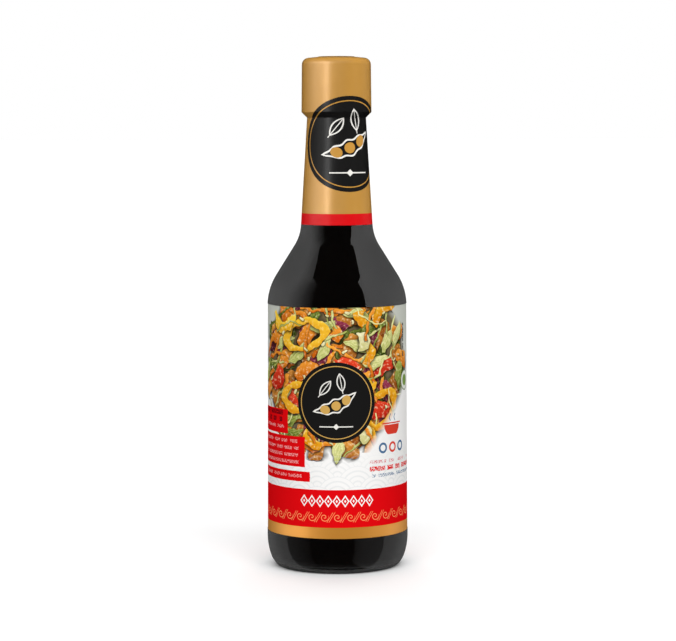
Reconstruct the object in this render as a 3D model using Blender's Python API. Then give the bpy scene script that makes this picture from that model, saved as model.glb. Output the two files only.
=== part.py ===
# Soy sauce bottle, 250 ml: a turned glass bottle, the sauce in it, a screw cap,
# a shrink film over cap and neck, and a paper label round the body.
# Metres, +Z up. The bottle stands on z = 0 and its axis is the Z axis.
import math

import bmesh
import bpy
from mathutils import Vector

MM = 0.001
SEGMENTS = 48

# Body of the bottle, outer faces
BODY_RADIUS_LOW = 28.9 * MM
BODY_RADIUS_HIGH = 28.5 * MM
HEEL_HEIGHT = 13.0 * MM
STANDING_RADIUS = 23.5 * MM
STANDING_WIDTH = 3.5 * MM
PUSH_UP = 3.0 * MM

# Shoulder: an outward round, a straight cone and an inward round into the neck
SHOULDER_ANGLE = math.radians(32)
SHOULDER_ROUND = 24.0 * MM
NECK_ROUND = 18.0 * MM
NECK_BASE_Z = 140.0 * MM
NECK_BASE_RADIUS = 14.65 * MM
NECK_TOP_Z = 183.5 * MM
NECK_TOP_RADIUS = 12.0 * MM

# Glass wall and mouth
WALL = 2.9 * MM
BASE_THICKNESS = 3.0 * MM
INNER_HEEL_ROUND = 6.0 * MM
FLOOR_CROWN = 3.0 * MM
FINISH_RADIUS = 11.1 * MM
MOUTH_Z = 205.2 * MM
LIP_ROUND = 0.9 * MM

# The sauce stands a little way up the neck, behind the film
SAUCE_LEVEL = 152.0 * MM

# Thin skins lie flush, so the glass and the cap are set back under them
GAP = 0.3 * MM
SKIN = 0.4 * MM
SET_BACK = GAP + SKIN

# Paper label round the body
LABEL_BOTTOM_Z = 15.05 * MM
LABEL_TOP_Z = 107.9 * MM

# Shrink film over cap and neck, outer faces
FILM_BOTTOM_Z = 140.25 * MM
CAP_EDGE_Z = 185.4 * MM
CAP_RADIUS_LOW = 14.25 * MM
CAP_RADIUS_HIGH = 14.05 * MM
CAP_LOWER_ROUND = 0.6 * MM
CAP_CORNER_ROUND = 2.8 * MM
CAP_CORNER_TOP_Z = 207.75 * MM
FILM_MOUTH_RADIUS = 7.8 * MM
FILM_MOUTH_Z = 208.0 * MM

# Screw cap, whose rim stands clear of the film that bridges from cap to neck
CAP_RIM_Z = 186.5 * MM
CAP_TOP_Z = 208.3 * MM
CAP_PANEL_ROUND = 0.5 * MM
CAP_PANEL_CROWN = 0.1 * MM


def arc(centre, radii, start, end, steps):
    """Points (radius, height) on a round or an elliptic arc, with the angles in radians."""
    points = []
    for step in range(steps + 1):
        angle = start + (end - start) * step / steps
        points.append((centre[0] + radii[0] * math.cos(angle), centre[1] + radii[1] * math.sin(angle)))
    return points


def set_back(path, distance):
    """The path moved to its left: towards the axis where it climbs, down where it runs inwards."""
    moved = []
    for index, point in enumerate(path):
        before = Vector(path[max(index - 1, 0)])
        after = Vector(path[min(index + 1, len(path) - 1)])
        here = Vector(point)
        normals = []
        for a, b in ((before, here), (here, after)):
            along = b - a
            if along.length > 0:
                along.normalize()
                normals.append(Vector((-along.y, along.x)))
        middle = sum(normals, Vector((0, 0))).normalized()
        stretch = 1 / max(middle.dot(normals[0]), 0.5)
        moved.append(tuple(here + middle * distance * stretch))
    return moved


def body_radius(z):
    """Outer radius of the nearly straight body at height z."""
    share = (z - HEEL_HEIGHT) / (SHOULDER_START_Z - HEEL_HEIGHT)
    return BODY_RADIUS_LOW + (BODY_RADIUS_HIGH - BODY_RADIUS_LOW) * share


def neck_radius(z):
    """Outer radius of the neck with its film at height z."""
    return NECK_BASE_RADIUS - (z - NECK_BASE_Z) * math.tan(NECK_ANGLE)


# The shoulder's cone is tangent to both rounds, which fixes where the shoulder starts
NECK_ANGLE = math.atan((NECK_BASE_RADIUS - NECK_TOP_RADIUS) / (NECK_TOP_Z - NECK_BASE_Z))
NECK_ROUND_CENTRE = (NECK_BASE_RADIUS + NECK_ROUND * math.cos(NECK_ANGLE),
                     NECK_BASE_Z + NECK_ROUND * math.sin(NECK_ANGLE))
CONE_TOP = (NECK_ROUND_CENTRE[0] - NECK_ROUND * math.cos(SHOULDER_ANGLE),
            NECK_ROUND_CENTRE[1] - NECK_ROUND * math.sin(SHOULDER_ANGLE))
CONE_LOW_RADIUS = BODY_RADIUS_HIGH - SHOULDER_ROUND * (1 - math.cos(SHOULDER_ANGLE))
CONE_LOW_Z = CONE_TOP[1] - (CONE_LOW_RADIUS - CONE_TOP[0]) / math.tan(SHOULDER_ANGLE)
SHOULDER_START_Z = CONE_LOW_Z - SHOULDER_ROUND * math.sin(SHOULDER_ANGLE)


def shoulder_radius(z):
    """Outer radius at height z, low on the shoulder's outward round."""
    return BODY_RADIUS_HIGH - SHOULDER_ROUND + math.sqrt(SHOULDER_ROUND ** 2 - (z - SHOULDER_START_Z) ** 2)


def shoulder_path():
    """From the top of the body to the base of the neck, going up."""
    outward = arc((BODY_RADIUS_HIGH - SHOULDER_ROUND, SHOULDER_START_Z), (SHOULDER_ROUND, SHOULDER_ROUND),
                  0, SHOULDER_ANGLE, 6)
    inward = arc(NECK_ROUND_CENTRE, (NECK_ROUND, NECK_ROUND),
                 math.pi + SHOULDER_ANGLE, math.pi + NECK_ANGLE, 5)
    return outward + inward


def film_path():
    """Outer face of the film, from its lower edge up the neck and over the cap."""
    lower_corner = (CAP_RADIUS_LOW - CAP_LOWER_ROUND, CAP_EDGE_Z + CAP_LOWER_ROUND)
    top_corner = (CAP_RADIUS_HIGH - CAP_CORNER_ROUND, CAP_CORNER_TOP_Z - CAP_CORNER_ROUND)
    path = [(neck_radius(FILM_BOTTOM_Z), FILM_BOTTOM_Z), (NECK_TOP_RADIUS, NECK_TOP_Z)]
    path += arc(lower_corner, (CAP_LOWER_ROUND, CAP_LOWER_ROUND), math.radians(-45), 0, 2)
    path += arc(top_corner, (CAP_CORNER_ROUND, CAP_CORNER_ROUND), 0, math.radians(86), 6)
    path.append((FILM_MOUTH_RADIUS, FILM_MOUTH_Z))
    return path


def inside_path():
    """Inner face of the glass, from the middle of the floor up to the base of the neck's bore."""
    floor_z = PUSH_UP + BASE_THICKNESS
    heel_radius = body_radius(HEEL_HEIGHT) - WALL
    heel_centre = (heel_radius - INNER_HEEL_ROUND, floor_z - FLOOR_CROWN + INNER_HEEL_ROUND)
    path = [(0.0, floor_z), (heel_centre[0] / 2, floor_z - FLOOR_CROWN / 4)]
    path += arc(heel_centre, (INNER_HEEL_ROUND, INNER_HEEL_ROUND), math.radians(-90), 0, 6)
    path += set_back(shoulder_path(), WALL)
    return path


def glass_path():
    """The whole wall of the bottle: up the inside, over the lip, down the outside and under the base."""
    bore = NECK_TOP_RADIUS - WALL
    lip = arc((bore + LIP_ROUND, MOUTH_Z - LIP_ROUND), (LIP_ROUND, LIP_ROUND), math.pi, math.pi / 2, 2)
    lip += arc((FINISH_RADIUS - LIP_ROUND, MOUTH_Z - LIP_ROUND), (LIP_ROUND, LIP_ROUND), math.pi / 2, 0, 2)
    film_seat = FILM_BOTTOM_Z - GAP
    label_top = LABEL_TOP_Z + GAP
    label_bottom = LABEL_BOTTOM_Z - GAP
    outside = [
        (neck_radius(NECK_TOP_Z) - SET_BACK, NECK_TOP_Z),
        (neck_radius(film_seat) - SET_BACK, film_seat),
        (neck_radius(film_seat), film_seat),
    ]
    for point in reversed(shoulder_path()):
        if point[1] > label_top:
            outside.append(point)
    outside.append((shoulder_radius(label_top), label_top))
    outside.append((body_radius(label_top) - SET_BACK, label_top))
    outside.append((body_radius(label_bottom) - SET_BACK, label_bottom))
    outside.append((body_radius(label_bottom), label_bottom))
    heel = arc((STANDING_RADIUS, HEEL_HEIGHT), (BODY_RADIUS_LOW - STANDING_RADIUS, HEEL_HEIGHT),
               0, math.radians(-90), 8)
    push_up_radius = STANDING_RADIUS - STANDING_WIDTH
    push_up = arc((0, 0), (push_up_radius, PUSH_UP), 0, math.pi / 2, 5)
    push_up[-1] = (0.0, PUSH_UP)
    return inside_path() + [(bore, NECK_TOP_Z)] + lip + outside + heel + push_up


def sauce_path():
    """The sauce fills the glass up to its level, a gap inside the wall."""
    wall = set_back(inside_path(), GAP)
    wall[0] = (0.0, wall[0][1])
    bore_radius = neck_radius(SAUCE_LEVEL) - WALL - GAP
    return wall + [(bore_radius, SAUCE_LEVEL), (0.0, SAUCE_LEVEL)]


def cap_path():
    """A shell over the mouth, with a raised round panel that shows inside the film's mouth."""
    under_film = set_back(film_path(), SET_BACK)
    top_corner = [point for point in under_film if point[1] > CAP_RIM_Z]
    panel_radius = FILM_MOUTH_RADIUS - GAP
    panel_edge_z = CAP_TOP_Z - CAP_PANEL_CROWN
    bore = FINISH_RADIUS + GAP
    ceiling = MOUTH_Z + GAP
    top = [(panel_radius, top_corner[-1][1])]
    top += arc((panel_radius - CAP_PANEL_ROUND, panel_edge_z - CAP_PANEL_ROUND),
               (CAP_PANEL_ROUND, CAP_PANEL_ROUND), 0, math.pi / 2, 3)
    top.append((0.0, CAP_TOP_Z))
    inside = [(0.0, ceiling), (bore, ceiling), (bore, CAP_RIM_Z), (CAP_RADIUS_LOW - SET_BACK, CAP_RIM_Z)]
    return inside + top_corner[:-1] + top


def skin_path(outer_face):
    """Closed outline of a thin skin whose outer face climbs along the path."""
    return outer_face + list(reversed(set_back(outer_face, SKIN)))


def turned(name, path, closed, material, parent):
    """Spins an outline (radius, height) round the Z axis into one closed solid."""
    shape = bmesh.new()
    points = [shape.verts.new((radius, 0, height)) for radius, height in path]
    edges = [shape.edges.new(pair) for pair in zip(points[:-1], points[1:])]
    if closed:
        edges.append(shape.edges.new((points[-1], points[0])))
    bmesh.ops.spin(shape, geom=points + edges, cent=(0, 0, 0), axis=(0, 0, 1),
                   angle=math.tau, steps=SEGMENTS, use_merge=True)
    bmesh.ops.remove_doubles(shape, verts=shape.verts, dist=0.002 * MM)
    bmesh.ops.recalc_face_normals(shape, faces=shape.faces)
    mesh = bpy.data.meshes.new(name)
    shape.to_mesh(mesh)
    shape.free()
    mesh.shade_smooth()
    mesh.set_sharp_from_angle(angle=math.radians(35))
    mesh.materials.append(material)
    piece = bpy.data.objects.new(name, mesh)
    bpy.context.collection.objects.link(piece)
    piece.parent = parent
    return piece


def finish(name, colour, roughness, metallic=0.0, transmission=0.0):
    """A plain Principled material."""
    material = bpy.data.materials.new(name)
    material.use_nodes = True
    shader = material.node_tree.nodes["Principled BSDF"]
    shader.inputs["Base Color"].default_value = (*colour, 1)
    shader.inputs["Roughness"].default_value = roughness
    shader.inputs["Metallic"].default_value = metallic
    shader.inputs["Transmission Weight"].default_value = transmission
    material.diffuse_color = (*colour, 1)
    return material


for old in list(bpy.data.objects):
    bpy.data.objects.remove(old)

base = bpy.data.objects.new("bottle_base_centre", None)
bpy.context.collection.objects.link(base)

clear_glass = finish("clear_glass", (0.9, 0.93, 0.91), 0.03, transmission=1.0)
turned("glass_bottle", glass_path(), False, clear_glass, base)

dark_sauce = finish("soy_sauce", (0.012, 0.005, 0.003), 0.05)
turned("soy_sauce", sauce_path(), False, dark_sauce, base)

gold_plastic = finish("gold_plastic", (0.55, 0.31, 0.08), 0.35, metallic=0.6)
turned("screw_cap", cap_path(), False, gold_plastic, base)

gold_film = finish("gold_film", (0.60, 0.34, 0.09), 0.32, metallic=0.6)
turned("neck_film", skin_path(film_path()), True, gold_film, base)

label_paper = finish("label_paper", (0.80, 0.74, 0.68), 0.4)
label_face = [(body_radius(LABEL_BOTTOM_Z), LABEL_BOTTOM_Z), (body_radius(LABEL_TOP_Z), LABEL_TOP_Z)]
turned("body_label", skin_path(label_face), True, label_paper, base)
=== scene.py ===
# Soy sauce bottle: glass, sauce, cap, shrink film and label, put together in that order,
# then the studio round it. Metres, +Z up, the front of the label faces -Y.
import math

import bpy
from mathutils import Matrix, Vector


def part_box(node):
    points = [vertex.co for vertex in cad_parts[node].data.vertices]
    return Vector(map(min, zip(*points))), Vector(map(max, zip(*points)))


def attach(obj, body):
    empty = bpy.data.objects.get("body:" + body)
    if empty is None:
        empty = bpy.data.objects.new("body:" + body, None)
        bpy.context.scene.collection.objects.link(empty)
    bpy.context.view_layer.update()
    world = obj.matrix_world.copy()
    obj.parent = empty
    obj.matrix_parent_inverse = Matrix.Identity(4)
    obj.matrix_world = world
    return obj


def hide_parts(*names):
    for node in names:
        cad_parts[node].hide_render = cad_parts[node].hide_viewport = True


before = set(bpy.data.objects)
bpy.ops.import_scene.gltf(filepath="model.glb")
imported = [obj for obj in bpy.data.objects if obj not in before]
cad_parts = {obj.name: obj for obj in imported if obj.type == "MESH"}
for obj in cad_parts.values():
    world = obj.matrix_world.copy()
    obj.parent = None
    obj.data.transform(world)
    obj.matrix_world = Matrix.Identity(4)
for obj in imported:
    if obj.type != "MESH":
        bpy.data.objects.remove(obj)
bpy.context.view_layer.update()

# Glass bottle
# A pressed and blown bottle of clear soda-lime glass. The mould leaves a fine seam down both
# sides, and its base plate leaves a knurled ring that the bottle stands on.
MM = 0.001
TURNS = 144
DOUBLES = 0.002 * MM
SMOOTH_ANGLE = math.radians(40)
GLASS_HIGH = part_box("glass_bottle")[1]
LABEL_LOW, LABEL_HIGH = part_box("body_label")
FILM_LOW, FILM_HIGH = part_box("neck_film")
BODY_LOW_RADIUS = GLASS_HIGH.x
BODY_HIGH_RADIUS = 28.5 * MM
HEEL_HEIGHT = 13.0 * MM
STANDING_RADIUS = 23.5 * MM
STANDING_WIDTH = 3.5 * MM
KNURL_DEPTH = 0.25 * MM
PUSH_UP = 3.0 * MM
SHOULDER_ANGLE = math.radians(32)
SHOULDER_ROUND = 24.0 * MM
NECK_ROUND = 18.0 * MM
NECK_LOW_Z, NECK_LOW_RADIUS = 140.0 * MM, 14.65 * MM
NECK_HIGH_Z, NECK_HIGH_RADIUS = 183.5 * MM, 12.0 * MM
WALL = 2.9 * MM
FLOOR_Z = 6.0 * MM
FLOOR_CROWN = 3.0 * MM
INNER_HEEL_ROUND = 6.0 * MM
FINISH_RADIUS = 11.1 * MM
LIP_ROUND = 0.9 * MM
PAPER = 0.12 * MM
FILM = 0.08 * MM
SLACK = 0.03 * MM
EDGE_SLACK = 0.05 * MM


def arc(centre, radii, start, end, steps):
    """Points (radius, height) on a round or an elliptic arc, angles in degrees."""
    points = []
    for step in range(steps + 1):
        angle = math.radians(start + (end - start) * step / steps)
        points.append((centre[0] + radii[0] * math.cos(angle), centre[1] + radii[1] * math.sin(angle)))
    return points


def set_back(path, distance):
    """The path moved to its left: towards the axis where it climbs."""
    moved = []
    for index, (radius, height) in enumerate(path):
        before = path[max(index - 1, 0)]
        after = path[min(index + 1, len(path) - 1)]
        run, rise = after[0] - before[0], after[1] - before[1]
        length = math.hypot(run, rise)
        moved.append((radius - distance * rise / length, height + distance * run / length))
    return moved


def turned(name, outline, ring=False):
    """Draws half of a cross-section point by point and spins it round the bottle's axis."""
    bpy.ops.object.select_all(action="DESELECT")
    bpy.ops.mesh.primitive_plane_add(size=MM)
    piece = bpy.context.object
    piece.name = name
    bpy.ops.object.mode_set(mode="EDIT")
    bpy.ops.mesh.merge(type="CENTER")
    bpy.ops.transform.translate(value=(outline[0][0], 0, outline[0][1]))
    ends = outline[1:] + outline[:1] if ring else outline[1:]
    for (radius, height), (next_radius, next_height) in zip(outline, ends):
        step = (next_radius - radius, 0, next_height - height)
        bpy.ops.mesh.extrude_region_move(TRANSFORM_OT_translate={"value": step})
    bpy.ops.mesh.select_all(action="SELECT")
    bpy.ops.mesh.remove_doubles(threshold=DOUBLES)
    bpy.ops.mesh.select_all(action="SELECT")
    bpy.ops.mesh.spin(steps=TURNS, angle=math.tau, center=(0, 0, 0), axis=(0, 0, 1), use_auto_merge=True)
    bpy.ops.mesh.select_all(action="SELECT")
    bpy.ops.mesh.remove_doubles(threshold=DOUBLES)
    bpy.ops.mesh.normals_make_consistent(inside=False)
    bpy.ops.object.mode_set(mode="OBJECT")
    bpy.ops.object.shade_smooth_by_angle(angle=SMOOTH_ANGLE)
    return piece


neck_angle = math.degrees(math.atan((NECK_LOW_RADIUS - NECK_HIGH_RADIUS) / (NECK_HIGH_Z - NECK_LOW_Z)))
neck_slope = math.tan(math.radians(neck_angle))
neck_centre = (NECK_LOW_RADIUS + NECK_ROUND * math.cos(math.radians(neck_angle)),
               NECK_LOW_Z + NECK_ROUND * math.sin(math.radians(neck_angle)))
cone_top = (neck_centre[0] - NECK_ROUND * math.cos(SHOULDER_ANGLE),
            neck_centre[1] - NECK_ROUND * math.sin(SHOULDER_ANGLE))
cone_low_radius = BODY_HIGH_RADIUS - SHOULDER_ROUND * (1 - math.cos(SHOULDER_ANGLE))
cone_low_z = cone_top[1] - (cone_low_radius - cone_top[0]) / math.tan(SHOULDER_ANGLE)
shoulder_z = cone_low_z - SHOULDER_ROUND * math.sin(SHOULDER_ANGLE)
shoulder_degrees = math.degrees(SHOULDER_ANGLE)
shoulder = arc((BODY_HIGH_RADIUS - SHOULDER_ROUND, shoulder_z), (SHOULDER_ROUND, SHOULDER_ROUND),
               0, shoulder_degrees, 14)
shoulder += arc(neck_centre, (NECK_ROUND, NECK_ROUND), 180 + shoulder_degrees, 180 + neck_angle, 12)


def body_radius(z):
    """Outer radius of the body, which narrows a little as it rises."""
    share = (z - HEEL_HEIGHT) / (shoulder_z - HEEL_HEIGHT)
    return BODY_LOW_RADIUS + (BODY_HIGH_RADIUS - BODY_LOW_RADIUS) * share


def neck_radius(z):
    """Outer radius of the neck over its film."""
    return NECK_LOW_RADIUS - (z - NECK_LOW_Z) * neck_slope


heel_radius = BODY_LOW_RADIUS - WALL
inside = [((heel_radius - INNER_HEEL_ROUND) * share, FLOOR_Z - FLOOR_CROWN * share ** 2)
          for share in (0.0, 0.2, 0.4, 0.6, 0.8)]
inside += arc((heel_radius - INNER_HEEL_ROUND, FLOOR_Z - FLOOR_CROWN + INNER_HEEL_ROUND),
              (INNER_HEEL_ROUND, INNER_HEEL_ROUND), -90, 0, 12)
inside += set_back(shoulder, WALL)
bore = NECK_HIGH_RADIUS - WALL
mouth_z = GLASS_HIGH.z
lip = arc((bore + LIP_ROUND, mouth_z - LIP_ROUND), (LIP_ROUND, LIP_ROUND), 180, 90, 5)
lip += arc((FINISH_RADIUS - LIP_ROUND, mouth_z - LIP_ROUND), (LIP_ROUND, LIP_ROUND), 90, 0, 5)

film_seat = FILM + SLACK
paper_seat = 2 * PAPER + SLACK
film_edge_z = FILM_LOW.z - EDGE_SLACK
label_edges = (LABEL_LOW.z - EDGE_SLACK, LABEL_HIGH.z + EDGE_SLACK)
outside = [(neck_radius(NECK_HIGH_Z) - film_seat, NECK_HIGH_Z),
           (neck_radius(film_edge_z) - film_seat, film_edge_z),
           (neck_radius(film_edge_z), film_edge_z)]
outside += [point for point in reversed(shoulder) if point[1] > label_edges[1]]
label_top_rise = label_edges[1] - shoulder_z
outside.append((BODY_HIGH_RADIUS - SHOULDER_ROUND + math.sqrt(SHOULDER_ROUND ** 2 - label_top_rise ** 2),
                label_edges[1]))
outside += [(body_radius(label_edges[1]) - paper_seat, label_edges[1]),
            (body_radius(label_edges[0]) - paper_seat, label_edges[0]),
            (body_radius(label_edges[0]), label_edges[0])]
heel = arc((STANDING_RADIUS, HEEL_HEIGHT), (BODY_LOW_RADIUS - STANDING_RADIUS, HEEL_HEIGHT), 0, -90, 18)
push_up = arc((0, 0), (STANDING_RADIUS - STANDING_WIDTH, PUSH_UP), 0, 88, 8) + [(0.0, PUSH_UP)]
foot = [(STANDING_RADIUS - STANDING_WIDTH * share, 0.0) for share in (0.25, 0.5, 0.75)]
bottle = turned("bottle_glass", inside + [(bore, NECK_HIGH_Z)] + lip + outside + heel + foot + push_up)


def spoke_and_radius(vertex):
    """The spoke of a turned piece that a vertex lies on, and its distance from the axis."""
    x, y = vertex.co.x, vertex.co.y
    return round(math.atan2(y, x) / math.tau * TURNS), math.hypot(x, y)


# The base plate's knurls: every other spoke of the standing ring is pressed up a little
RING_HIGH = 0.1 * MM
bpy.ops.object.mode_set(mode="EDIT")
bpy.ops.mesh.select_mode(type="VERT")
bpy.ops.mesh.select_all(action="DESELECT")
bpy.ops.object.mode_set(mode="OBJECT")
for vertex in bottle.data.vertices:
    spoke, radius = spoke_and_radius(vertex)
    on_ring = vertex.co.z < RING_HIGH and STANDING_RADIUS - STANDING_WIDTH + DOUBLES < radius
    vertex.select = on_ring and spoke % 2 == 1
bpy.ops.object.mode_set(mode="EDIT")
bpy.ops.transform.translate(value=(0, 0, KNURL_DEPTH))
bpy.ops.object.mode_set(mode="OBJECT")


class Value:
    """A number or a vector that varies over a surface. Arithmetic on it adds Math nodes."""

    def __init__(self, finish, socket):
        self.finish = finish
        self.socket = socket

    def __add__(self, other):
        return self.finish.math("ADD", self, other)

    def __radd__(self, other):
        return self.finish.math("ADD", other, self)

    def __sub__(self, other):
        return self.finish.math("SUBTRACT", self, other)

    def __rsub__(self, other):
        return self.finish.math("SUBTRACT", other, self)

    def __mul__(self, other):
        return self.finish.math("MULTIPLY", self, other)

    def __rmul__(self, other):
        return self.finish.math("MULTIPLY", other, self)

    def __truediv__(self, other):
        return self.finish.math("DIVIDE", self, other)

    def __floordiv__(self, other):
        return self.finish.math("FLOOR", self / other)

    def __mod__(self, other):
        return self.finish.math("FLOORED_MODULO", self, other)

    def __pow__(self, other):
        return self.finish.math("POWER", self, other)

    def __neg__(self):
        return self * -1.0

    def __lt__(self, other):
        return self.finish.math("LESS_THAN", self, other)

    def __gt__(self, other):
        return self.finish.math("GREATER_THAN", self, other)

    def __abs__(self):
        return self.finish.math("ABSOLUTE", self)

    def also(self, output):
        """Another output of the same node."""
        return Value(self.finish, self.socket.node.outputs[output])


class Finish:
    """One material: a Principled shader with plain values, and the nodes that vary it."""

    def __init__(self, name, **plain):
        self.material = bpy.data.materials.new(name)
        self.material.use_nodes = True
        self.tree = self.material.node_tree
        self.shader = self.tree.nodes["Principled BSDF"]
        for socket, value in plain.items():
            self.shader.inputs[socket.replace("_", " ")].default_value = value

    def node(self, kind, settings=None, inputs=None, output=0):
        """Adds a node: its settings first, then the values or links of its sockets."""
        node = self.tree.nodes.new("ShaderNode" + kind)
        for name, value in (settings or {}).items():
            if name == "stops":
                self.set_stops(node.color_ramp, value)
            else:
                setattr(node, name, value)
        for key, value in (inputs or {}).items():
            self.feed(node.inputs[key], value)
        return Value(self, node.outputs[output])

    def set_stops(self, ramp, stops):
        """Fills a colour ramp with (place, colour) stops."""
        while len(ramp.elements) < len(stops):
            ramp.elements.new(1.0)
        for element, (place, colour) in zip(ramp.elements, stops):
            element.position = place
            element.color = (*colour, 1)

    def feed(self, socket, value):
        """Links a value to a socket, or sets it."""
        if isinstance(value, Value):
            self.tree.links.new(value.socket, socket)
        elif hasattr(value, "__len__") and len(value) == 3 and socket.type == "RGBA":
            socket.default_value = (*value, 1)
        else:
            socket.default_value = value

    def math(self, operation, *values, clamp=False):
        """The result of one Math node, kept from 0 to 1 where it is clamped."""
        return self.node("Math", {"operation": operation, "use_clamp": clamp}, dict(enumerate(values)))

    def mix(self, mask, first, second):
        """The first colour where the mask is 0, the second where it is 1."""
        return self.node("Mix", {"data_type": "RGBA"}, {0: mask, 6: first, 7: second}, output=2)

    def noise(self, place, size, detail=2.0):
        """Soft noise from 0 to 1 with lumps of the given size."""
        return self.node("TexNoise", {}, {"Vector": place, "Scale": 1 / size, "Detail": detail})

    def object_place(self):
        """The place on the piece, in metres."""
        return self.node("TexCoord", output=3)

    def axis(self, place, number):
        """One coordinate of a place."""
        return self.node("SeparateXYZ", {}, {0: place}, output=number)

    def point(self, x, y=0.0):
        """A place made of two coordinates."""
        return self.node("CombineXYZ", {}, {0: x, 1: y})

    def moved(self, place, step):
        """A place moved by a step."""
        return self.node("VectorMath", {"operation": "ADD"}, {0: place, 1: step})

    def set(self, socket, value):
        """Gives one of the shader's sockets its value."""
        self.feed(self.shader.inputs[socket], value)

    def bump(self, height, depth):
        """Makes the shader's normal from a height of 0 to 1 and its depth in metres."""
        self.set("Normal", self.node("Bump", {}, {"Strength": 1.0, "Distance": depth, "Height": height}))

    def onto(self, piece):
        """Gives the piece this finish and the only body."""
        piece.data.materials.clear()
        piece.data.materials.append(self.material)
        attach(piece, "root")


# The wall is a little wavy, and the mould leaves a stippled strip lowest on the heel
WAVE_SIZE, WAVE_DEPTH = 22 * MM, 0.12 * MM
SEAM_WIDTH, SEAM_RISE = 0.5 * MM, 0.4
SMEAR_SIZE, GLASS_ROUGHNESS = 6 * MM, 0.02
STIPPLE_HIGH, STIPPLE_FADE, STIPPLE_ROUGHNESS = 2.6 * MM, 1.0 * MM, 0.35
glass = Finish("flint_glass", Base_Color=(0.965, 0.985, 0.975, 1), Transmission_Weight=1.0, IOR=1.52)
place = glass.object_place()
from_seam = abs(glass.axis(place, 1))
seam = glass.math("MAXIMUM", 1 - from_seam / SEAM_WIDTH, 0.0)
waves = glass.noise(place, WAVE_SIZE, detail=1.0)
glass.bump(seam * SEAM_RISE + waves, WAVE_DEPTH)
stippled = glass.math("MULTIPLY", STIPPLE_HIGH - glass.axis(place, 2), 1 / STIPPLE_FADE, clamp=True)
smears = glass.noise(place, SMEAR_SIZE, detail=3.0) * GLASS_ROUGHNESS + GLASS_ROUGHNESS
glass.set("Roughness", smears + stippled * STIPPLE_ROUGHNESS)
glass.onto(bottle)
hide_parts("glass_bottle")

# Soy sauce
# Brewed soy sauce, black brown and opaque at this depth. It wets the glass, so it reaches a
# little into the wall, and it stands in the neck with a small meniscus.
WETTING = 0.1 * MM
MENISCUS = 0.6 * MM
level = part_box("soy_sauce")[1].z
sauce_wall = set_back(inside, -WETTING)
sauce_wall[0] = (0.0, sauce_wall[0][1])
bore_at_level = neck_radius(level) - WALL + WETTING
sauce_top = [(bore_at_level, level), (bore_at_level - MENISCUS, level - 0.7 * MENISCUS),
             (bore_at_level - 3 * MENISCUS, level - MENISCUS), (0.0, level - MENISCUS)]
sauce_piece = turned("sauce", sauce_wall + sauce_top)

CLOUD_SIZE = 18 * MM
sauce = Finish("brewed_soy_sauce", Roughness=0.05, IOR=1.38, Specular_IOR_Level=0.05)
cloud = sauce.noise(sauce.object_place(), CLOUD_SIZE)
sauce.set("Base Color", sauce.mix(cloud, (0.0025, 0.0014, 0.001), (0.005, 0.0024, 0.0016)))
sauce.onto(sauce_piece)
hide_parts("soy_sauce")

# Screw cap
# A moulded gold plastic cap. Its low round panel shows in the mouth of the film, and the
# rest of it only gives the film its shape.
CAP_LOW, CAP_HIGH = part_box("screw_cap")
CAP_GAP = 0.15 * MM
CAP_EDGE_Z = 185.4 * MM
CAP_LOW_RADIUS, CAP_HIGH_RADIUS = 14.25 * MM, 14.05 * MM
CAP_LOWER_ROUND = 0.6 * MM
CAP_CORNER_ROUND = 2.8 * MM
CAP_CORNER_Z = 207.75 * MM
PANEL_ROUND = 0.5 * MM
PANEL_DISH = 0.35 * MM
FILM_MOUTH_RADIUS = 7.8 * MM
FILM_MOUTH_Z = FILM_HIGH.z

cap_edge = arc((CAP_LOW_RADIUS - CAP_LOWER_ROUND, CAP_EDGE_Z + CAP_LOWER_ROUND),
               (CAP_LOWER_ROUND, CAP_LOWER_ROUND), -45, 0, 5)
cap_corner = arc((CAP_HIGH_RADIUS - CAP_CORNER_ROUND, CAP_CORNER_Z - CAP_CORNER_ROUND),
                 (CAP_CORNER_ROUND, CAP_CORNER_ROUND), 0, 86, 14)
film_face = [(neck_radius(FILM_LOW.z), FILM_LOW.z), (NECK_HIGH_RADIUS, NECK_HIGH_Z)]
film_face += cap_edge + cap_corner + [(FILM_MOUTH_RADIUS, FILM_MOUTH_Z)]

under_film = [point for point in set_back(film_face, film_seat) if point[1] > CAP_LOW.z]
panel_radius = FILM_MOUTH_RADIUS - CAP_GAP
panel = [(panel_radius, under_film[-1][1])]
panel += arc((panel_radius - PANEL_ROUND, CAP_HIGH.z - PANEL_ROUND), (PANEL_ROUND, PANEL_ROUND), 0, 90, 6)
panel += [(panel_radius - 2 * PANEL_ROUND, CAP_HIGH.z - 0.3 * PANEL_DISH),
          (panel_radius - 3 * PANEL_ROUND, CAP_HIGH.z - PANEL_DISH), (0.0, CAP_HIGH.z - PANEL_DISH)]
cap_inside = [(0.0, mouth_z + CAP_GAP), (FINISH_RADIUS + CAP_GAP, mouth_z + CAP_GAP),
              (FINISH_RADIUS + CAP_GAP, CAP_LOW.z), (CAP_LOW_RADIUS - film_seat, CAP_LOW.z)]
cap_piece = turned("cap", cap_inside + under_film[:-1] + panel)

CAP_MOTTLE, CAP_GRAIN, CAP_GRAIN_DEPTH = 3 * MM, 0.6 * MM, 0.02 * MM
cap = Finish("gold_cap_plastic", Metallic=0.6, Roughness=0.3)
place = cap.object_place()
cap.set("Base Color", cap.mix(cap.noise(place, CAP_MOTTLE), (0.60, 0.33, 0.075), (0.66, 0.38, 0.095)))
cap.bump(cap.noise(place, CAP_GRAIN), CAP_GRAIN_DEPTH)
cap.onto(cap_piece)
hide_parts("screw_cap")

# Neck film
# A printed gold shrink sleeve, welded down its back and shrunk over cap and neck. Its lower
# edge carries a red band and its front a dark roundel, printed before it shrank.
film_piece = turned("film", film_face + list(reversed(set_back(film_face, FILM))), ring=True)


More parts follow.
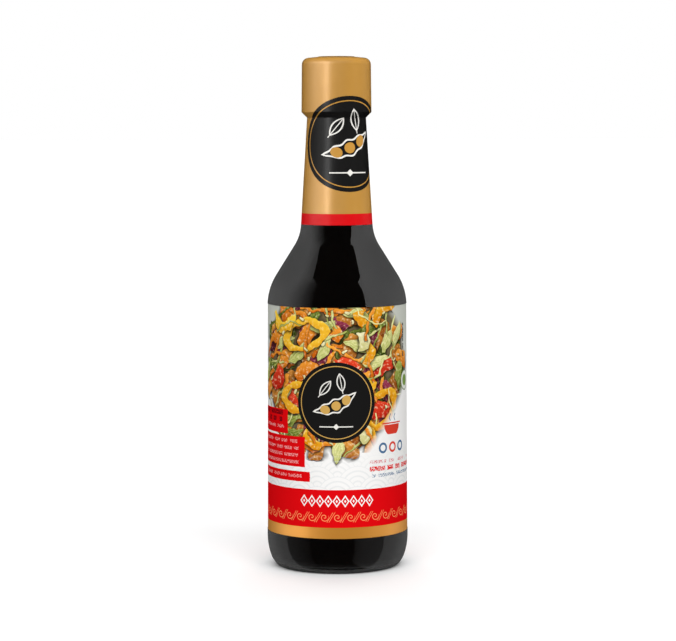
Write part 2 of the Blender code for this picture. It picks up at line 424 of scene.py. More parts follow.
def lay_over(piece, from_turn, to_turn, least_radius, thickness):
    """Raises an upright strip of a sleeve's outer face, where its end laps its start.
    Turns are in degrees from the middle of the back."""
    bpy.ops.object.select_all(action="DESELECT")
    bpy.context.view_layer.objects.active = piece
    piece.select_set(True)
    bpy.ops.object.mode_set(mode="EDIT")
    bpy.ops.mesh.select_mode(type="FACE")
    bpy.ops.mesh.select_all(action="DESELECT")
    bpy.ops.object.mode_set(mode="OBJECT")
    for face in piece.data.polygons:
        x, y, z = face.center
        turn = math.degrees(math.atan2(x, y))
        outward = face.normal.x * x + face.normal.y * y > 0
        face.select = outward and from_turn < turn < to_turn and math.hypot(x, y) > least_radius(z)
    bpy.ops.object.mode_set(mode="EDIT")
    bpy.ops.mesh.extrude_region_shrink_fatten(TRANSFORM_OT_shrink_fatten={"value": thickness})
    bpy.ops.mesh.select_mode(type="VERT")
    bpy.ops.object.mode_set(mode="OBJECT")


WELD_TURN, WELD_RISE = 4, 0.6 * FILM
WELD_FROM_MOUTH = 2 * MM
lay_over(film_piece, -WELD_TURN, WELD_TURN, lambda z: FILM_MOUTH_RADIUS + WELD_FROM_MOUTH, WELD_RISE)

# Small puckers round the film's mouth, where it shrank most
PUCKER_HEIGHT, PUCKER_LENGTH = 0.12 * MM, 1.0 * MM
for vertex in film_piece.data.vertices:
    spoke, radius = spoke_and_radius(vertex)
    if radius < FILM_MOUTH_RADIUS + PUCKER_LENGTH and spoke % 4 < 2:
        vertex.co.z += PUCKER_HEIGHT

# The print on film and label is laid out in millimetres: u runs to the right round the piece
# from the middle of its front, and v runs up from the foot
BAND_HIGH_V = 144.8
ROUNDEL_U, ROUNDEL_HALF_WIDTH = 5.6, 20.6
ROUNDEL_V, ROUNDEL_HALF_HEIGHT = 172.9, 19.3
INK = (0.0105, 0.0102, 0.010)
PALE = (0.83, 0.81, 0.76)
# The roundel's own measures are shares of its radius, and its turns are in degrees
DISC_RING, RING_WIDTH = 0.90, 0.011
POD_TILT, POD_DOWN = math.radians(24), 0.08
POD_LENGTH, POD_WIDTH, POD_BEND, POD_BELLY = 0.60, 0.17, 0.30, 0.022
BEAN_PITCH, BEAN_RADIUS = 0.29, 0.115
LINE = 0.019
LEAVES = [(-0.27, 0.36, 52), (0.12, 0.50, 100)]
LEAF_LENGTH, LEAF_WIDTH = 0.24, 0.11
BAR_DOWN, BAR_HALF, GEM_HALF = 0.60, 0.42, 0.075


def roundel(finish, paint, a, b, metal):
    """A dark disc with a pod of beans, two leaves and a bar, in shares of the disc's radius."""
    reach = (a * a + b * b) ** 0.5
    paint = finish.mix(reach < 1.0, paint, INK)
    paint = finish.mix(abs(reach - DISC_RING) < RING_WIDTH, paint, metal)
    along = a * math.cos(POD_TILT) + (b + POD_DOWN) * math.sin(POD_TILT)
    across = (b + POD_DOWN) * math.cos(POD_TILT) - a * math.sin(POD_TILT) - POD_BEND * along * along
    share = along / POD_LENGTH
    belly = finish.math("COSINE", along * math.tau / BEAN_PITCH) * POD_BELLY
    edge = (1 - share * share) * (POD_WIDTH + belly) - abs(across)
    paint = finish.mix(abs(edge - LINE) < LINE, paint, PALE)
    step = (along + BEAN_PITCH / 2) % BEAN_PITCH - BEAN_PITCH / 2
    bean = (step * step + across * across < BEAN_RADIUS ** 2) * (abs(along) < 1.5 * BEAN_PITCH)
    paint = finish.mix(bean, paint, metal)
    for leaf_a, leaf_b, turn in LEAVES:
        cosine, sine = math.cos(math.radians(turn)), math.sin(math.radians(turn))
        x = (a - leaf_a) * cosine + (b - leaf_b) * sine
        y = (b - leaf_b) * cosine - (a - leaf_a) * sine
        edge = (1 - (x / LEAF_LENGTH) * (x / LEAF_LENGTH)) * LEAF_WIDTH - abs(y)
        vein = (abs(y) < 0.5 * LINE) * (abs(x + 0.2 * LEAF_LENGTH) < LEAF_LENGTH)
        rim = (abs(edge - 0.8 * LINE) < 0.8 * LINE) * (abs(x) < LEAF_LENGTH)
        paint = finish.mix(finish.math("MAXIMUM", rim, vein), paint, PALE)
    bar = (abs(b + BAR_DOWN) < 0.7 * LINE) * (abs(a) < BAR_HALF)
    gem = abs(a) + abs(b + BAR_DOWN) < GEM_HALF
    return finish.mix(finish.math("MAXIMUM", bar, gem), paint, PALE)


# The gold shines through its coat, which the red band and the dark disc largely dull
FILM_ROUGHNESS, FILM_UNEVEN, FILM_METAL = 0.33, 0.06, 0.1
BAND_DULLS, DISC_DULLS = 0.93, 0.7
FILM_MOTTLE, FILM_CRINKLE = 6 * MM, 3 * MM
film = Finish("gold_film_print", Specular_IOR_Level=0.05, Coat_Roughness=FILM_ROUGHNESS, Coat_IOR=1.5)
place = film.object_place()
x, y, z = [film.axis(place, number) for number in range(3)]
u = film.math("ARCTAN2", x, -y) * (x * x + y * y) ** 0.5 / MM
v = z / MM
a = (u - ROUNDEL_U) / ROUNDEL_HALF_WIDTH
b = (v - ROUNDEL_V) / ROUNDEL_HALF_HEIGHT
gold = film.mix(film.noise(place, FILM_MOTTLE), (0.540, 0.266, 0.040), (0.590, 0.296, 0.048))
paint = roundel(film, gold, a, b, gold)
printed_disc = a * a + b * b < 1.0
red_band = v < BAND_HIGH_V
film.set("Base Color", film.mix(red_band, paint, (0.66, 0.003, 0.006)))
film.set("Metallic", FILM_METAL * (1 - film.math("MAXIMUM", red_band, printed_disc)))
film.set("Coat Weight", 1 - BAND_DULLS * red_band - DISC_DULLS * printed_disc)
film.set("Roughness", FILM_ROUGHNESS + FILM_UNEVEN * film.noise(place, FILM_CRINKLE))
film.onto(film_piece)
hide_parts("neck_film")

# Body label
# A coated paper label wrapped once round the body, glued, with its end lapped over its start
# at the back.
LAP_START, LAP_END = -8, 2
label_face = [(body_radius(height) - PAPER, height) for height in (LABEL_LOW.z, LABEL_HIGH.z)]
label_piece = turned("label", label_face + list(reversed(set_back(label_face, PAPER))), ring=True)
lay_over(label_piece, LAP_START, LAP_END, lambda z: body_radius(z) - 1.5 * PAPER, PAPER)

PRINT_RADIUS = 28.65
WRAP = math.tau * PRINT_RADIUS
PAPER_WHITE = (0.93, 0.92, 0.905)
PRINT_RED = (0.75, 0.0035, 0.006)
PRINT_GOLD = (0.60, 0.255, 0.034)
PRINT_BLUE = (0.07, 0.16, 0.30)
PRINT_GREY = (0.16, 0.17, 0.19)
# The drawing is laid out from ART_LOW up, and is fitted to the height of the label
ART_LOW, ART_HEIGHT = 15.5, 93.5
RED_HIGH, GOLD_HIGH = 35.4, 20.0
HEAP_U, HEAP_V, HEAP_HALF_WIDTH, HEAP_HALF_HEIGHT = -1.0, 84.0, 37.0, 32.5

LABEL_ROUGHNESS, LABEL_UNEVEN = 0.36, 0.08
label = Finish("label_print", Specular_IOR_Level=0.0, Coat_Roughness=LABEL_ROUGHNESS, Coat_IOR=1.5)
place = label.object_place()
x, y, z = [label.axis(place, number) for number in range(3)]
u = label.math("ARCTAN2", x, -y) * PRINT_RADIUS
v = ART_LOW + (z - LABEL_LOW.z) * (ART_HEIGHT / (LABEL_HIGH.z - LABEL_LOW.z))
flat = label.point(u, v)


def box_mask(left, right, low, high):
    """1 inside a rectangle of the label, 0 outside."""
    within_u = abs(u - (left + right) / 2) < (right - left) / 2
    within_v = abs(v - (low + high) / 2) < (high - low) / 2
    return within_u * within_v


def disc_mask(centre_u, centre_v, radius):
    """1 inside a disc of the label, 0 outside."""
    from_u, from_v = u - centre_u, v - centre_v
    return from_u * from_u + from_v * from_v < radius ** 2


def heap_reach(at_u, at_v):
    """0 at the middle of the food heap, 1 at its rim."""
    share_u = (at_u - HEAP_U) / HEAP_HALF_WIDTH
    share_v = (at_v - HEAP_V) / HEAP_HALF_HEIGHT
    return share_u * share_u + share_v * share_v


# The plate under the food is a soft grey that fades into the white paper below it
PLATE_LOW, PLATE_FADE = 60.0, 40.0
PLATE_GREY = (0.60, 0.62, 0.56)
GROUND_REACH, GROUND_EDGE, GROUND_DENSITY, GROUND_MOTTLE = 1.06, 5.0, 0.92, 5.0
reach = heap_reach(u, v)
plate = label.math("SUBTRACT", v / PLATE_FADE, PLATE_LOW / PLATE_FADE, clamp=True)
paint = label.mix(plate, PAPER_WHITE, PLATE_GREY)
shade = label.math("MULTIPLY", GROUND_REACH - reach, GROUND_EDGE, clamp=True)
ground = label.mix(label.noise(flat, GROUND_MOTTLE), (0.018, 0.016, 0.006), (0.22, 0.14, 0.03))
paint = label.mix(shade * GROUND_DENSITY, paint, ground)

# Each food's colours in the dark and in the light
ORANGE = ((0.58, 0.12, 0.006), (0.98, 0.40, 0.045))
YELLOW = ((0.72, 0.26, 0.006), (1.00, 0.66, 0.05))
DARK_GREEN = ((0.022, 0.045, 0.006), (0.17, 0.22, 0.030))
GREEN = ((0.08, 0.13, 0.014), (0.44, 0.50, 0.11))
PALE_GREEN = ((0.42, 0.46, 0.11), (0.82, 0.80, 0.36))
PURPLE = ((0.030, 0.003, 0.007), (0.40, 0.055, 0.110))
RED_FOOD = ((0.46, 0.014, 0.006), (0.92, 0.08, 0.03))
CREAM = ((0.62, 0.58, 0.24), (0.95, 0.90, 0.60))
BROWN = ((0.28, 0.07, 0.010), (0.80, 0.34, 0.055))
SHADOW = (0.016, 0.010, 0.004)
# What lies on the plate, lowest first. Each layer has one shape of piece, one piece to a cell of
# a scattered grid: shape, cell, share of cells that are filled, half length, half width, bend and
# colours. A ring's bend is half the width of its band. PIECE enlarges all measures alike.
PIECE = 1.2
FOODS = [("leaf", 8.0, 0.95, 5.2, 2.2, 0.02, DARK_GREEN), ("leaf", 9.0, 0.85, 5.0, 1.7, 0.04, GREEN),
         ("chunk", 9.0, 0.85, 4.4, 3.0, 0.03, BROWN), ("leaf", 10.5, 0.62, 5.6, 3.0, 0.05, PURPLE),
         ("chunk", 10.0, 0.65, 4.6, 2.6, 0.04, ORANGE), ("strip", 9.0, 0.80, 5.6, 0.75, 0.03, ORANGE),
         ("chunk", 12.0, 0.45, 4.6, 2.9, 0.05, RED_FOOD), ("leaf", 9.5, 0.55, 5.4, 1.8, 0.05, PALE_GREEN),
         ("leaf", 12.0, 0.36, 6.0, 2.2, 0.06, GREEN), ("strip", 10.0, 0.75, 7.5, 0.32, 0.03, PALE_GREEN),
         ("ring", 17.0, 0.62, 7.4, 4.6, 1.05, YELLOW), ("strip", 12.0, 0.60, 8.0, 0.40, 0.04, GREEN),
         ("chunk", 14.0, 0.40, 4.8, 2.0, 0.12, YELLOW), ("chunk", 15.0, 0.24, 3.4, 2.0, 0.10, CREAM),
         ("strip", 11.0, 0.60, 6.6, 0.45, 0.02, ORANGE),
         ("strip", 12.0, 0.55, 8.5, 0.24, 0.05, PALE_GREEN), ("chunk", 3.6, 0.15, 0.75, 0.36, 0.00, CREAM)]
SCATTER = 0.85
WARP, WARP_SIZE, WARP_STEP = 3.2, 4.2, (57.0, 13.0, 0.0)
GRAIN_SIZE, GLOSS_START, GLOSS_EDGE = 1.3, 0.55, 6.0
CHUNK_POWER, CHUNK_GLOSS, PLAIN_GLOSS = 3.2, 0.6, 0.3
HALO_WIDTH, SHADOW_DEPTH, SHADOW_LIT = 1.3, 0.68, 0.40
TONE_GRAIN, TONE_LIT, TONE_CHANCE, TONE_START = 1.1, 0.34, 0.5, 0.34
VEIN_PITCH, VEIN_WOBBLE, VEIN_TONE = 7.0, 9.0, 0.22
bent_u = u + WARP * label.noise(flat, WARP_SIZE, detail=1.0)
bent_v = v + WARP * label.noise(label.moved(flat, WARP_STEP), WARP_SIZE, detail=1.0)
bent = label.point(bent_u, bent_v)
grain = label.noise(flat, GRAIN_SIZE, detail=3.0)
gloss = label.math("MULTIPLY", grain - GLOSS_START, GLOSS_EDGE, clamp=True)
for number, (shape, cell, share, length, width, bend, colours) in enumerate(FOODS):
    cell, length, width = cell * PIECE, length * PIECE, width * PIECE
    bend = bend * PIECE if shape == "ring" else bend / PIECE
    # Each layer reads another part of the same endless scatter
    shift_u, shift_v = 31.7 * number + 11.0, 17.3 * number + 5.0
    shifted = label.moved(bent, (shift_u, shift_v, 0.0))
    inputs = {"Vector": shifted, "Scale": 1 / cell, "Randomness": SCATTER}
    middle = label.node("TexVoronoi", {"voronoi_dimensions": "2D"}, inputs, output=2)
    chance = label.node("SeparateColor", {}, {0: middle.also(1)})
    middle = label.node("SeparateXYZ", {}, {0: middle})
    middle_u, middle_v = middle - shift_u, middle.also(1) - shift_v
    from_u, from_v = bent_u - middle_u, bent_v - middle_v
    turn = chance * math.tau
    cosine, sine = label.math("COSINE", turn), label.math("SINE", turn)
    from_x, from_y = from_u * cosine + from_v * sine, from_v * cosine - from_u * sine
    round_x, round_y = from_x / length, from_y / width
    # How far a point lies towards the upper side of its piece, which the light comes from
    lit = round_y * cosine + round_x * sine
    if shape == "ring":
        off_ring = (round_x * round_x + round_y * round_y) ** 0.5 - 1
        edge = bend - abs(off_ring) * width
        lit = lit * off_ring * (width / bend)
    else:
        from_y = from_y - bend * from_x * from_x
        if shape == "leaf":
            edge = (1 - round_x * round_x) * width - abs(from_y)
        elif shape == "strip":
            edge = label.math("MINIMUM", width - abs(from_y), length - abs(from_x))
        else:
            corners = abs(round_x) ** CHUNK_POWER + abs(from_y / width) ** CHUNK_POWER
            edge = (1 - corners ** (1 / CHUNK_POWER)) * width
    there = (heap_reach(middle_u, middle_v) < 1.0) * (chance.also(2) < share)
    halo = label.math("ADD", edge / min(width, HALO_WIDTH), 1.0, clamp=True)
    shadow = label.math("SUBTRACT", SHADOW_DEPTH, lit * SHADOW_LIT, clamp=True)
    paint = label.mix(halo * there * shadow, paint, SHADOW)
    lit_tone = grain * TONE_GRAIN + lit * TONE_LIT
    tone = label.math("ADD", lit_tone, chance.also(1) * TONE_CHANCE - TONE_START, clamp=True)
    if shape == "leaf":
        tone = tone + label.math("SINE", from_y * VEIN_PITCH + grain * VEIN_WOBBLE) * VEIN_TONE
    flesh = label.mix(tone, *colours)
    flesh = label.mix(gloss * (CHUNK_GLOSS if shape == "chunk" else PLAIN_GLOSS), flesh, CREAM[1])
    paint = label.mix((edge > 0.0) * there, paint, flesh)

# At the lower right the heap gives way to white paper along a slanting line
CLEARING_SLOPE, CLEARING_START, CLEARING_EDGE = 0.9, 36.0, 0.22
clearing = label.math("MULTIPLY", u - CLEARING_SLOPE * v + CLEARING_START, CLEARING_EDGE, clamp=True)
paint = label.mix(clearing, paint, PAPER_WHITE)

# The seigaiha waves on the white, the scales of each row half hidden by the row below
SCALE_RADIUS = WRAP / 22
SCALE_ROW = SCALE_RADIUS / 2
SCALE_ARCS, ARC_START = 4, 0.34
SCALE_HIGH, SCALE_FADE, SCALE_DENSITY = 52.0, 10.0, 0.5
SCALE_GREY = (0.73, 0.75, 0.75)
row = v // SCALE_ROW
depth = None
for below in range(3):
    centre_row = row - below
    side_step = (centre_row % 2) * SCALE_RADIUS
    from_u = (u + side_step + SCALE_RADIUS) % (2 * SCALE_RADIUS) - SCALE_RADIUS
    from_v = v - centre_row * SCALE_ROW
    reach_here = (from_u * from_u + from_v * from_v) ** 0.5 / SCALE_RADIUS
    if depth is None:
        depth = reach_here
    else:
        inside_here = reach_here < 1.0
        depth = depth * (1 - inside_here) + reach_here * inside_here
arcs = abs((depth * SCALE_ARCS) % 1 - 0.5) > ARC_START
fade = label.math("MULTIPLY", SCALE_HIGH - v, 1 / SCALE_FADE, clamp=True)
paint = label.mix(arcs * fade * SCALE_DENSITY, paint, SCALE_GREY)

# Small print: runs of short upright strokes, on rows shared by the whole label
ROW_HEIGHT, ROWS_LOW = 2.8, 39.2
RUN_LENGTH, RUN_STEP, RUN_START = 2.6, 7.3, 0.39
STROKE_WIDTH, STROKE_HEIGHT = 0.36, 0.55
FINE_START, FINE_HALF = 0.52, 0.66
BOLD_START, BOLD_HALF = 0.42, 0.95
row = (v - ROWS_LOW) // ROW_HEIGHT
in_row = abs((v - ROWS_LOW) % ROW_HEIGHT - ROW_HEIGHT / 2)
runs = label.noise(label.point(u / RUN_LENGTH, row * RUN_STEP), 1.0, detail=0.0) > RUN_START
strokes = label.noise(label.point(u / STROKE_WIDTH, v / STROKE_HEIGHT), 1.0, detail=0.0)
fine = runs * (strokes > FINE_START) * (in_row < FINE_HALF)
bold = runs * (strokes > BOLD_START) * (in_row < BOLD_HALF)

# Red boxes at the left with slightly ragged edges: right edge, lower edge, upper edge
BOXES = [(-22.1, 57.4, 67.2), (-13.6, 44.3, 56.6), (-11.4, 38.4, 42.5)]
BOX_LEFT = -47.0
RAGGED_SIZE, RAGGED_WIDTH, RAGGED_ABOVE = 2.2, 0.8, 0.25
ragged = label.noise(flat, RAGGED_SIZE) * RAGGED_WIDTH - RAGGED_WIDTH / 2
for right, low, high in BOXES:
    middle = (low + high) / 2
    across = (u + ragged < right) * (u > BOX_LEFT)
    box = across * (abs(v - middle) + RAGGED_ABOVE * ragged < (high - low) / 2)
    paint = label.mix(box, paint, PRINT_RED)

# The blocks of small print: left, right, lower and upper edge, kind and colour
ROSE, DARK_RED = (0.86, 0.40, 0.40), (0.16, 0.002, 0.006)
SMALL_PRINT = [(-46, -25, 61.6, 67.2, bold, DARK_RED), (-44, -24.5, 58.8, 61.6, fine, ROSE),
               (-44, -16.5, 44.8, 56.0, fine, ROSE), (-44, -13.5, 39.2, 42.0, fine, ROSE),
               (13.5, 44, 44.8, 47.6, fine, (0.66, 0.10, 0.12)), (13.5, 44, 42.0, 44.8, bold, PRINT_RED),
               (14.5, 44, 39.2, 42.0, fine, PRINT_BLUE), (-86, -52, 42.0, 95.2, fine, PRINT_GREY),
               (-86, -60, 98.0, 103.6, bold, PRINT_RED), (52, 86, 42.0, 72.8, fine, PRINT_GREY),
               (52, 74, 98.0, 103.6, bold, PRINT_RED)]
for left, right, low, high, kind, colour in SMALL_PRINT:
    paint = label.mix(box_mask(left, right, low, high) * kind, paint, colour)

# Table on the back: thin rules round dashed rows
TABLE_LEFT, TABLE_COLUMN, TABLE_RIGHT = 52.0, 70.0, 86.0
TABLE_LOW, TABLE_HIGH = 75.6, 95.2
RULE, TABLE_DENSITY = 0.13, 0.85
table = box_mask(TABLE_LEFT - RULE, TABLE_RIGHT + RULE, TABLE_LOW - RULE, TABLE_HIGH + RULE)
rules = in_row > ROW_HEIGHT / 2 - RULE
for rule_u in (TABLE_LEFT, TABLE_COLUMN, TABLE_RIGHT):
    rules = label.math("MAXIMUM", rules, abs(u - rule_u) < RULE)
paint = label.mix(table * label.math("MAXIMUM", rules, fine * TABLE_DENSITY), paint, PRINT_GREY)

# Right of the roundel: a bowl with steam, three rings, a green badge and an upright row
BOWL_U, BOWL_V, BOWL_RADIUS = 25.5, 60.8, 4.8
BOWL_DEPTH, RIM_RADIUS, RIM_LOW, RIM_HIGH = 0.82 * BOWL_RADIUS, 1.2 * BOWL_RADIUS, 0.35, 0.9
BOWL_RED = (0.70, 0.05, 0.03)
bowl = disc_mask(BOWL_U, BOWL_V, BOWL_RADIUS) * (v < BOWL_V) * (v > BOWL_V - BOWL_DEPTH)
rim = box_mask(BOWL_U - RIM_RADIUS, BOWL_U + RIM_RADIUS, BOWL_V + RIM_LOW, BOWL_V + RIM_HIGH)
paint = label.mix(label.math("MAXIMUM", bowl, rim), paint, BOWL_RED)
STEAM_ASIDE, STEAM_UP, STEAM_HALF, STEAM_LINE = 1.5, 3.0, 1.5, 0.22
STEAM_WAVE, STEAM_SWAY = 1.9, 0.35
sway = label.math("SINE", v * STEAM_WAVE) * STEAM_SWAY
from_steam = abs(abs(u + sway - BOWL_U) - STEAM_ASIDE)
steam = (from_steam < STEAM_LINE) * (abs(v - BOWL_V - STEAM_UP) < STEAM_HALF)
paint = label.mix(steam, paint, PRINT_BLUE)
LOOP_U, LOOP_V, LOOP_PITCH = 20.0, 51.6, 5.6
LOOP_RADIUS, LOOP_HOLE = 2.2, 1.3
for loop, colour in enumerate((PRINT_BLUE, BOWL_RED, PRINT_BLUE)):
    loop_u = LOOP_U + LOOP_PITCH * loop
    paint = label.mix(disc_mask(loop_u, LOOP_V, LOOP_RADIUS), paint, colour)
    paint = label.mix(disc_mask(loop_u, LOOP_V, LOOP_HOLE), paint, PAPER_WHITE)
BADGE_U, BADGE_V = 36.6, 78.0
BADGE_DISCS = ((4.2, (0.12, 0.20, 0.08)), (3.8, (0.80, 0.82, 0.74)), (2.4, (0.20, 0.32, 0.08)))
for radius, colour in BADGE_DISCS:
    paint = label.mix(disc_mask(BADGE_U, BADGE_V, radius), paint, colour)
UPRIGHT_RUN, UPRIGHT_START = 1.6, 0.38
upright_runs = label.noise(label.point(v / UPRIGHT_RUN), 1.0, detail=0.0) > UPRIGHT_START
upright = strokes * upright_runs > BOLD_START
paint = label.mix(box_mask(33.9, 35.3, 87.7, 102.0) * upright, paint, (0.06, 0.06, 0.06))

# Roundel
DISC_U, DISC_V, DISC_RADIUS = -0.45, 70.8, 16.3
BEAN_GOLD = (0.62, 0.37, 0.095)
paint = roundel(label, paint, (u - DISC_U) / DISC_RADIUS, (v - DISC_V) / DISC_RADIUS, BEAN_GOLD)

# Red field with a chain of lozenges, the scroll border and the gold stripe
red_field = (v < RED_HIGH) * (v > GOLD_HIGH)
paint = label.mix(red_field, paint, PRINT_RED)
LINK, CHAIN_U, CHAIN_V, CHAIN_HALF, CHAIN_HEIGHT = 3.4, -0.3, 30.8, 15.3, 2.5
LOZENGE_LINE, LOZENGE_CORE = 0.16, 0.26
along = abs((u - CHAIN_U + LINK / 2) % LINK - LINK / 2)
across = abs(v - CHAIN_V)
lozenge = along / (LINK / 2) + across / CHAIN_HEIGHT
chain = label.math("MAXIMUM", abs(lozenge - (1 - LOZENGE_LINE)) < LOZENGE_LINE, lozenge < LOZENGE_CORE)
paint = label.mix(chain * (abs(u - CHAIN_U) < CHAIN_HALF), paint, PAPER_WHITE)

# Each scroll is a spiral, and slanting double tails part it from the next
SCROLL_PITCH = WRAP / 34
SCROLL_V, SCROLL_HALF, SCROLL_RADIUS, SCROLL_STEP = 24.25, 2.05, 1.75, 1.2
SCROLL_LINE, SCROLL_DENSITY = 0.13, 0.85
TAIL_SLANT, TAIL_ASIDE, TAIL_LINE = 0.6, 0.40, 0.12
SCROLL_PINK = (0.95, 0.36, 0.14)
cell_u = (u + SCROLL_PITCH / 2) % SCROLL_PITCH - SCROLL_PITCH / 2
cell_v = v - SCROLL_V
curl_reach = (cell_u * cell_u + cell_v * cell_v) ** 0.5
winding = label.math("ARCTAN2", cell_v, cell_u) / math.tau
from_line = abs((curl_reach / SCROLL_STEP - winding) % 1 - 0.5)
curl = (from_line < SCROLL_LINE) * (curl_reach < SCROLL_RADIUS)
from_border = (u - TAIL_SLANT * cell_v) % SCROLL_PITCH - SCROLL_PITCH / 2
tail = (abs(abs(from_border) - TAIL_ASIDE) < TAIL_LINE) * (abs(cell_v) < SCROLL_HALF)
paint = label.mix(label.math("MAXIMUM", curl, tail) * SCROLL_DENSITY, paint, SCROLL_PINK)

STRIPE_METAL, STRIPE_COAT = 0.3, 0.4
MOTTLE_SIZE, FIBRE_SIZE, FIBRE_DEPTH = 4 * MM, 0.35 * MM, 0.01 * MM
gold_stripe = v < GOLD_HIGH
paint = label.mix(gold_stripe, paint, PRINT_GOLD)
label.set("Base Color", paint)
label.set("Metallic", STRIPE_METAL * gold_stripe)
label.set("Coat Weight", STRIPE_COAT * gold_stripe)
label.set("Roughness", LABEL_ROUGHNESS + LABEL_UNEVEN * label.noise(place, MOTTLE_SIZE))
label.bump(label.noise(place, FIBRE_SIZE, detail=3.0), FIBRE_DEPTH)
label.onto(label_piece)
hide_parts("body_label")

# Studio
# A pale floor under a white surround. Tall upright boxes of light at both sides show in the
# glass alone. Broad suns in front and behind light the whole bottle, and the gold of the film
# and of the label's stripe has further suns of its own.
FLOOR_SIZE = 60.0
PICTURE_WIDTH, PICTURE_HEIGHT = 676, 641
FOCAL_PIXELS = 2392
HORIZON_ROW = 126.3
CAMERA_DISTANCE = 977.6 * MM
CAMERA_HEIGHT = 180.0 * MM
CAMERA_ASIDE = 0.6 * MM
CAMERA_ROLL = math.radians(0.155)

# The floor shows to the camera alone: it lights nothing, and nothing mirrors it
SPECKLE_SIZE = 300 * MM
bpy.ops.object.select_all(action="DESELECT")
bpy.ops.mesh.primitive_plane_add(size=FLOOR_SIZE)
floor = bpy.context.object
floor.name = "floor"
floor_paint = Finish("floor_paint", Roughness=0.9, Specular_IOR_Level=0.0)
speckle = floor_paint.noise(floor_paint.object_place(), SPECKLE_SIZE)
floor_paint.set("Base Color", floor_paint.mix(speckle, (0.93, 0.93, 0.93), (0.95, 0.95, 0.95)))
floor.data.materials.append(floor_paint.material)
floor.visible_glossy = False
floor.visible_diffuse = False
floor.visible_transmission = False

BOX_ASIDE = 0.60
BOX_MIDDLE_Z = 0.12
BOX_HIGH, BOX_STEP, BOX_LOW = 1.45, -0.08, -2.0
BOX_GLOW = 1.45
# Each face of a box: name, side, lower and upper edge, and its glow at places from front to
# rear. All lengths are shares of BOX_ASIDE. The glow falls off behind, because glass reflects
# more the flatter it is seen.
REAR_FADE = [(0.577, 0.46), (0.84, 0.345), (1.19, 0.245), (1.9, 0.155), (3.0, 0.10), (6.0, 0.06)]
LOW_FADE = [(0.14, 0.38), (0.70, 0.30), (1.3, 0.20), (1.9, 0.14), (3.0, 0.10), (6.0, 0.06)]
BOX_FACES = [("left_box_upper", -1, BOX_STEP, BOX_HIGH,
              [(-1.25, 0.0), (-0.75, 0.20), (-0.45, 0.46), (-0.1, 0.70), (0.0, 0.75)] + REAR_FADE),
             ("left_box_lower", -1, BOX_LOW, BOX_STEP,
              [(-1.0, 0.02), (-0.04, 0.11), (0.0, 0.40)] + LOW_FADE),
             ("right_box_upper", 1, BOX_STEP, BOX_HIGH,
              [(-0.92, 0.93), (-0.5, 0.95), (0.0, 0.78)] + REAR_FADE),
             ("right_box_lower", 1, BOX_LOW, BOX_STEP,
              [(-1.9, 0.06), (-0.9, 0.13), (-0.20, 0.15), (-0.16, 0.42)] + LOW_FADE)]
glass_pieces = bpy.data.collections.new("side_light_pieces")
glass_pieces.objects.link(bottle)
for name, side, low, high, fade in BOX_FACES:
    front, rear = fade[0][0], fade[-1][0]
    glow = Finish(name + "_glow", Base_Color=(0, 0, 0, 1), Specular_IOR_Level=0.0,
                  Emission_Strength=BOX_GLOW)
    rearward = glow.axis(glow.object_place(), 1) / BOX_ASIDE
    share = (rearward - front) / (rear - front)
    stops = [((at - front) / (rear - front), (value,) * 3) for at, value in fade]
    glow.set("Emission Color", glow.node("ValToRGB", {"stops": stops}, {0: share}))
    bpy.ops.object.select_all(action="DESELECT")
    bpy.ops.mesh.primitive_plane_add(size=MM)
    light_box = bpy.context.object
    light_box.name = name
    bpy.ops.object.mode_set(mode="EDIT")
    bpy.ops.mesh.merge(type="CENTER")
    first_corner = (BOX_ASIDE * side, BOX_ASIDE * front, BOX_ASIDE * low + BOX_MIDDLE_Z)
    bpy.ops.transform.translate(value=first_corner)
    rise, run = (0, 0, (high - low) * BOX_ASIDE), (0, (rear - front) * BOX_ASIDE, 0)
    bpy.ops.mesh.extrude_region_move(TRANSFORM_OT_translate={"value": rise})
    bpy.ops.mesh.select_all(action="SELECT")
    bpy.ops.mesh.extrude_region_move(TRANSFORM_OT_translate={"value": run})
    bpy.ops.object.mode_set(mode="OBJECT")
    light_box.data.materials.append(glow.material)
    light_box.visible_camera = False
    light_box.visible_diffuse = False
    light_box.visible_transmission = False
    light_box.visible_shadow = False
    light_box.light_linking.receiver_collection = glass_pieces


def sun(name, turn, height, strength, spread, pieces=(), sheen=False):
    """A broad soft sun from a turn (0 is the camera's side), a height and a spread in degrees.
    With sheen it only shows in gloss, and otherwise it only lights."""
    bpy.ops.object.light_add(type="SUN")
    lamp = bpy.context.object
    lamp.name = name
    lamp.data.energy = strength
    lamp.data.angle = math.radians(spread)
    lamp.rotation_euler = (math.radians(90 - height), 0, math.radians(turn))
    lamp.visible_diffuse = not sheen
    lamp.visible_glossy = sheen
    lamp.visible_transmission = False
    if pieces:
        lamp.light_linking.receiver_collection = bpy.data.collections.new(name + "_pieces")
        for piece in pieces:
            lamp.light_linking.receiver_collection.objects.link(piece)


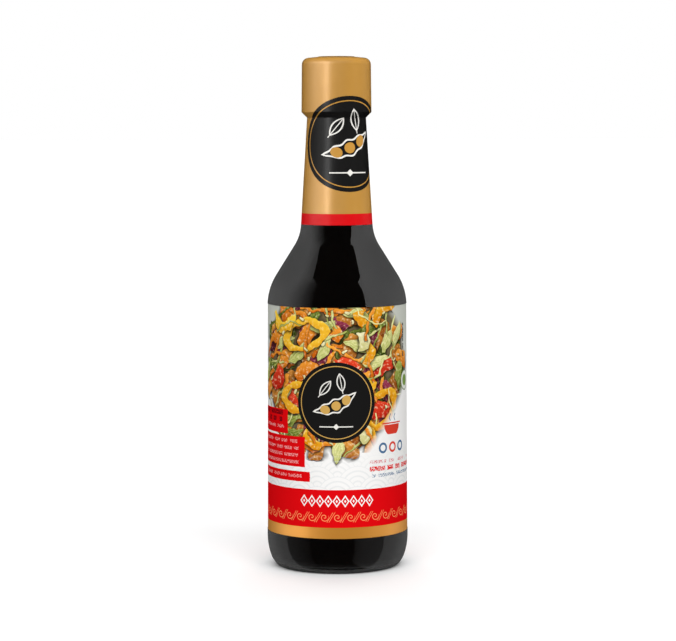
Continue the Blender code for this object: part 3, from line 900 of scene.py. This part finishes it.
sun("front_sun", 6, 40, 2.4, 70)
sun("rear_sun", 180, 40, 1.2, 70)
# With sheen for the satin gloss, and two faint ones that lift the film's edges
sun("left_sheen", -60, 12, 8.2, 72, (film_piece, cap_piece), sheen=True)
sun("left_stripe_sheen", -78, 12, 15.0, 70, (label_piece,), sheen=True)
sun("right_sheen", 112, 12, 1.2, 60, (film_piece, cap_piece), sheen=True)
sun("right_stripe_sheen", 96, 12, 13.0, 76, (label_piece,), sheen=True)
sun("left_fill", -95, 10, 0.7, 60, (film_piece, cap_piece))
sun("right_fill", 95, 10, 1.1, 60, (film_piece, cap_piece))

# The surround is white to the camera, dimmer through the glass and as light, and isn't mirrored
AMBIENT = 0.45
SEEN_AS = (("Is Glossy Ray", 0.0), ("Is Transmission Ray", 0.55), ("Is Camera Ray", 1.0))
world = bpy.data.worlds.new("white_surround")
bpy.context.scene.world = world
world.use_nodes = True
nodes, links = world.node_tree.nodes, world.node_tree.links
surround = nodes["Background"]
surround.inputs["Color"].default_value = (1, 1, 1, 1)
rays = nodes.new("ShaderNodeLightPath")
strength = None
for ray, value in SEEN_AS:
    choice = nodes.new("ShaderNodeMix")
    links.new(rays.outputs[ray], choice.inputs[0])
    choice.inputs[2].default_value = AMBIENT
    choice.inputs[3].default_value = value
    if strength is not None:
        links.new(strength, choice.inputs[2])
    strength = choice.outputs[0]
links.new(strength, surround.inputs["Strength"])

camera_data = bpy.data.cameras.new("camera")
camera = bpy.data.objects.new("camera", camera_data)
bpy.context.collection.objects.link(camera)
camera_data.sensor_width = 36.0
camera_data.lens = camera_data.sensor_width * FOCAL_PIXELS / PICTURE_WIDTH
tilt_down = math.atan((PICTURE_HEIGHT / 2 - HORIZON_ROW) / FOCAL_PIXELS)
camera.location = (CAMERA_ASIDE, -CAMERA_DISTANCE, CAMERA_HEIGHT)
camera.rotation_euler = (math.pi / 2 - tilt_down, CAMERA_ROLL, 0)
bpy.context.scene.camera = camera
bpy.context.scene.view_settings.view_transform = "Standard"
